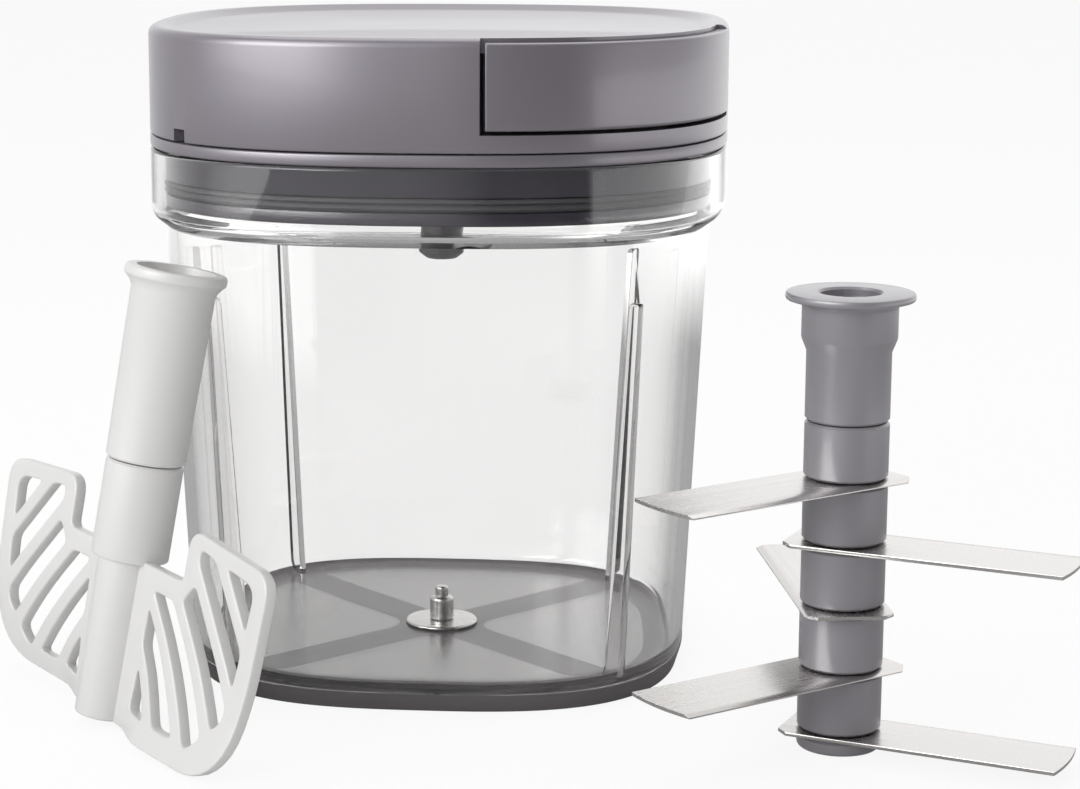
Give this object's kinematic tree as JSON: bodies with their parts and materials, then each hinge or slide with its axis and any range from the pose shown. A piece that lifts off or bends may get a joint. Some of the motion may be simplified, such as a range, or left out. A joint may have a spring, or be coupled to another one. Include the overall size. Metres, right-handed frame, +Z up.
{
  "type": "pull-cord food chopper",
  "caption": "Clear rounded-square chopping bowl with a lid whose corner handle pulls a cord, and a bladed cutter and a slotted paddle standing beside it.",
  "frame": {"origin": "middle of the bowl's foot, on the table", "axes": "+Z up; +X to the right and -Y to the front, square to the bowl's sides; the handle fills the lid's corner between +X and -Y"},
  "size_m": [0.2444, 0.1779, 0.1507],
  "materials": {
    "clear_plastic": "clear, polished inside and out",
    "lid_grey": "satin grey",
    "skirt_grey": "satin dark grey",
    "seal_rubber": "matt",
    "pad_rubber": "matt",
    "cutter_grey": "satin grey",
    "blade_steel": "polished, ground edge",
    "pin_steel": "turned",
    "paddle_white": "semi-gloss off-white",
    "inner_white": "as moulded",
    "cord": "braided",
    "spring_steel": "blued strip",
    "black_plastic": "as moulded"
  },
  "bodies": {
    "base": {"bowl": "clear_plastic", "base_pad": "pad_rubber", "centre_pin": "pin_steel", "pin_washer": "pin_steel"},
    "lid": {"top_cover": "lid_grey", "lid_tray": "skirt_grey", "seal_ring": "seal_rubber", "cord_eyelet": "inner_white", "reel_post": "pin_steel", "spindle_bushing": "black_plastic", "thrust_washer": "pin_steel", "lid_screw_1": "pin_steel", "lid_screw_2": "pin_steel", "lid_screw_3": "pin_steel", "lid_screw_4": "pin_steel", "lid_screw_5": "pin_steel"},
    "handle": {"handle_shell": "lid_grey", "handle_plate": "skirt_grey", "handle_screw_1": "pin_steel", "handle_screw_2": "pin_steel", "cord_stop": "pin_steel", "cord_lead": "cord"},
    "reel": {"reel": "inner_white", "cord_winding": "cord", "spring_cover": "inner_white", "mainspring": "spring_steel", "pawl_1": "pin_steel", "pawl_2": "pin_steel", "pawl_3": "pin_steel", "pawl_spring": "spring_steel"},
    "spindle": {"drive_spindle": "skirt_grey"},
    "cutter": {"cutter_core": "cutter_grey", "cutter_end_cap": "cutter_grey", "blade_1": "blade_steel", "blade_2": "blade_steel", "blade_3": "blade_steel", "blade_4": "blade_steel", "blade_5": "blade_steel", "spacer_1": "cutter_grey", "spacer_2": "cutter_grey", "spacer_3": "cutter_grey", "spacer_4": "cutter_grey", "spacer_5": "cutter_grey"},
    "paddle": {"paddle_sleeve": "paddle_white", "paddle_body": "paddle_white"}
  },
  "joints": [
    {"name": "lid_lift", "type": "slide", "parent": "base", "child": "lid", "axis": [0, 0, 1], "range_m": [0, 0.12]},
    {"name": "handle_pull", "type": "slide", "parent": "lid", "child": "handle", "axis": [0.7071, -0.7071, 0], "range_m": [0, 0.34], "stiffness_N_per_m": 20, "springref_m": -0.25, "deforming": ["cord_lead"]},
    {"name": "reel_spin", "type": "hinge", "parent": "lid", "child": "reel", "pos_m": [0, 0, 0.13], "axis": [0, 0, 1], "range_deg": [0, 910], "deforming": ["mainspring"]},
    {"name": "spindle_spin", "type": "hinge", "parent": "lid", "child": "spindle", "pos_m": [0, 0, 0.11], "axis": [0, 0, 1], "range_deg": [0, 910]},
    {"name": "cutter_lift", "type": "slide", "parent": "base", "child": "cutter", "axis": [0, 0, 1], "range_m": [0, 0.03]},
    {"name": "paddle_lift", "type": "slide", "parent": "base", "child": "paddle", "axis": [-0.6366, -0.3077, 0.7071], "range_m": [0, 0.05]}
  ],
  "couplings": [
    {"joint": "reel_spin", "follows": "handle_pull", "rad_per_m": 46.512},
    {"joint": "spindle_spin", "follows": "handle_pull", "rad_per_m": 46.512}
  ]
}
